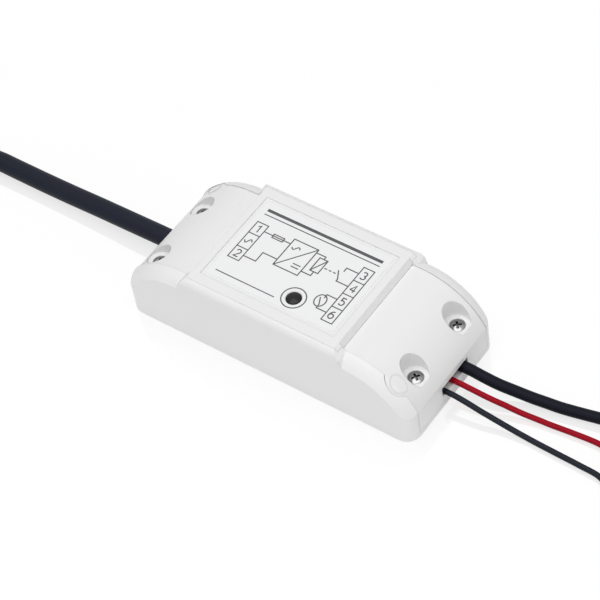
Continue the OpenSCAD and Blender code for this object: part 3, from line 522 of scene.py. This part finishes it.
# The heading rules, and the two rows of numbered terminals.
EDGE_X, HEAD_RULE = 17.6, 0.9
MAINS_X, MAINS_MID, MAINS_CELLS = -14.2, -15.9, (4.6, -4.4)
OUTPUT_X, OUTPUT_MID, OUTPUT_CELLS = 14.4, 16, (5.05, 0.35, -4.35, -9.05)
print_stroke([(-EDGE_X, 11), (EDGE_X, 11)], HEAD_RULE)
print_stroke([(-EDGE_X, 9.5), (EDGE_X, 9.5)])
print_stroke([(-EDGE_X, -11.5), (0.4, -11.5)])
print_frame(-EDGE_X, -6.4, MAINS_X, 6.6)
for y in (2.6, -2.4):
    print_stroke([(-EDGE_X, y), (MAINS_X, y)])
print_frame(OUTPUT_X, -11.4, EDGE_X, 7.4)
for y in (2.7, -2, -6.7):
    print_stroke([(OUTPUT_X, y), (EDGE_X, y)])
cells = [(MAINS_MID, y) for y in MAINS_CELLS] + [(OUTPUT_MID, y) for y in OUTPUT_CELLS]
for numeral, (x, y) in enumerate(cells, 1):
    print_numeral(numeral, x, y)
WAVE_HALF = 8
wave = [(t / WAVE_HALF, math.sin(t * math.pi / WAVE_HALF)) for t in range(-WAVE_HALF, WAVE_HALF + 1)]
print_stroke([(MAINS_MID + 1.05 * u, 0.1 + 0.7 * v) for u, v in wave])

# The diagram: fuse, supply, relay coil with its contact, door sensor and push button.
print_stroke([(MAINS_X, 4.6), (-6, 4.6)])
print_frame(-11.4, 4, -8.2, 5.2)
print_stroke([(MAINS_X, -4.4), (-10.4, -4.4), (-10.4, -1.2), (-6, -1.2)])
print_frame(-6, -3, 1.4, 6.4)
print_stroke([(-6, -3), (1.4, 6.4)])
print_stroke([(-3.9 + 1.2 * u, 4 + 0.6 * v) for u, v in wave])
for y in (-0.3, -1.3):
    print_stroke([(-1.8, y), (0.5, y)])
print_stroke([(1.4, 5.4), (4.3, 5.4), (4.3, 4.5)])
print_stroke([(1.4, -1.4), (4.3, -1.4), (4.3, 0)])
print_frame(3.1, 0, 5.5, 4.5)
print_stroke([(3.1, 0), (5.5, 4.5)])
for x in (6, 7.3, 8.6):
    print_stroke([(x, 2.25), (x + 0.8, 2.25)])
print_stroke([(OUTPUT_X, 5.05), (10.8, 5.05), (10.8, 3.7)])
print_stroke([(OUTPUT_X, 0.35), (10.8, 0.35), (10.8, 1), (9.4, 3.5)])
print_stroke([(OUTPUT_X, -4.35), (11.4, -4.35), (11.4, -5.6)])
print_stroke([(OUTPUT_X, -9.05), (11.4, -9.05), (11.4, -7.9), (10.4, -5.8)])
print_stroke(arc(11, -6.7, 1.5, 1.9, 0, 345, 23), closed=True)
BUTTON_X, BUTTON_Y, BUTTON_RING = 4.8, -9.3, 3.2
print_stroke(arc(BUTTON_X, BUTTON_Y, BUTTON_RING, BUTTON_RING, 0, 350, 35), closed=True)

print_mesh = bpy.data.meshes.new("label_print")
print_mesh.from_pydata(print_verts, [], print_faces)
print_mesh.update()
label_print = bpy.data.objects.new("label_print", print_mesh)
bpy.context.scene.collection.objects.link(label_print)
label_ink = moulded("label_ink", (0.075, 0.075, 0.08), 0.5, tone=0.2, patch=0.001, depth=0.000001)
print_mesh.materials.append(label_ink)
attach(label_print, "case")

# End covers and their screws
# Two arched white covers, moulded alike but for the places of their screws. Each is held
# by two nickel-plated cross-head screws that sit low in round wells.
dress(shell, "mains_end_cover", "output_end_cover")
nickel = moulded("screw_nickel", (0.7, 0.71, 0.72), 0.22, tone=0.25, patch=0.0007, Metallic=1.0)
dress(nickel, "board_screws", "terminal_screws")
# Painted shade on the cover screw heads: their nickel colour is set much darker than the board screws'
# nickel, and an occlusion mask below darkens it further, nearly to black, in the cross recess and other
# hollows of the head.
RECESS_REACH, RECESS_SAMPLES = 0.0006, 8
RECESS_DEEP, RECESS_OPEN, RECESS_SHADE_LEVEL = 0.5, 0.95, 0.03
head_nickel_shaded = moulded(
    "head_nickel_shaded", (0.3, 0.3, 0.305), 0.18, tone=0.5, patch=0.0006, Metallic=1.0, round_edge=0.00012,
)
tree = head_nickel_shaded.node_tree
surface = tree.nodes["Principled BSDF"]
plating = surface.inputs["Base Color"].links[0].from_socket
hollow = tree.nodes.new("ShaderNodeAmbientOcclusion")
hollow.only_local = True
hollow.samples = RECESS_SAMPLES
hollow.inputs["Distance"].default_value = RECESS_REACH
# Painted shade: the occlusion value scales the plating colour down towards the shade level where the head
# is hollow, and leaves it as it is on the open dome.
recess_shade_ramp = tree.nodes.new("ShaderNodeMapRange")
recess_shade_ramp.inputs["From Min"].default_value = RECESS_DEEP
recess_shade_ramp.inputs["From Max"].default_value = RECESS_OPEN
recess_shade_ramp.inputs["To Min"].default_value = RECESS_SHADE_LEVEL
tree.links.new(hollow.outputs["AO"], recess_shade_ramp.inputs["Value"])
recess_shaded_colour = tree.nodes.new("ShaderNodeVectorMath")
recess_shaded_colour.operation = "SCALE"
tree.links.new(plating, recess_shaded_colour.inputs[0])
tree.links.new(recess_shade_ramp.outputs["Result"], recess_shaded_colour.inputs["Scale"])
tree.links.new(recess_shaded_colour.outputs[0], surface.inputs["Base Color"])
dress(head_nickel_shaded, "cover_screws")

# Lead ends inside the case
# Stripped jackets and cores held in the screw terminals, with a nylon clamp on the mains cord
# and a nylon cable tie on the sensor cable. The leads outside share these jackets.
jacket = moulded(
    "cord_jacket", (0.011, 0.0135, 0.024), 0.5, tone=0.25, patch=0.004, grain=0.0005,
    Specular_IOR_Level=0.12,
)
thin_jacket = moulded(
    "sensor_jacket", (0.005, 0.0055, 0.012), 0.5, tone=0.25, patch=0.003, grain=0.0004,
    Specular_IOR_Level=0.1,
)
dress(jacket, "mains_inner_cord")
dress(thin_jacket, "sensor_inner_cable")
mains_flex.data.materials.append(jacket)
sensor_flex.data.materials.append(thin_jacket)
red_skin = moulded("wire_red", (0.34, 0.004, 0.016), 0.45, tone=0.2, patch=0.002, Specular_IOR_Level=0.08)
black_skin = moulded(
    "wire_black", (0.01, 0.013, 0.02), 0.45, tone=0.25, patch=0.002, Specular_IOR_Level=0.14,
)
dress(red_skin, "red_inner_wire")
dress(black_skin, "black_inner_wire")
switch_wires["red_lead"].data.materials.append(red_skin)
switch_wires["black_lead"].data.materials.append(black_skin)
dress(moulded("live_brown", (0.2, 0.08, 0.03), 0.4), "live_core")
dress(moulded("neutral_blue", (0.06, 0.17, 0.45), 0.4), "neutral_core")
dress(moulded("core_grey", (0.7, 0.7, 0.68), 0.4), "sensor_inner_cores", "sensor_core_ends")
dress(moulded("grip_nylon", (0.8, 0.8, 0.76), 0.45), "mains_grip", "sensor_grip")

# Plug, ties and tips
# The moulded two-pin plug with brass pins, the flat ties round the spare cord,
# and the tinned tips of the switch wires.
plug_skin = moulded("plug_black", (0.012, 0.014, 0.021), 0.45, round_edge=0.0006, Specular_IOR_Level=0.2)
dress(plug_skin, "mains_plug")
dress(moulded("pin_brass", (0.72, 0.56, 0.26), 0.25, Metallic=1.0, round_edge=0.0002), "plug_pins")
tie_skin = moulded("tie_black", (0.014, 0.015, 0.018), 0.6, tone=0.3, patch=0.0015, Specular_IOR_Level=0.2)
dress(tie_skin, "hank_tie", "sensor_tie")
dress(moulded("tinned_copper", (0.7, 0.67, 0.62), 0.35, tone=0.2, patch=0.0006, Metallic=1.0), "wire_tips")
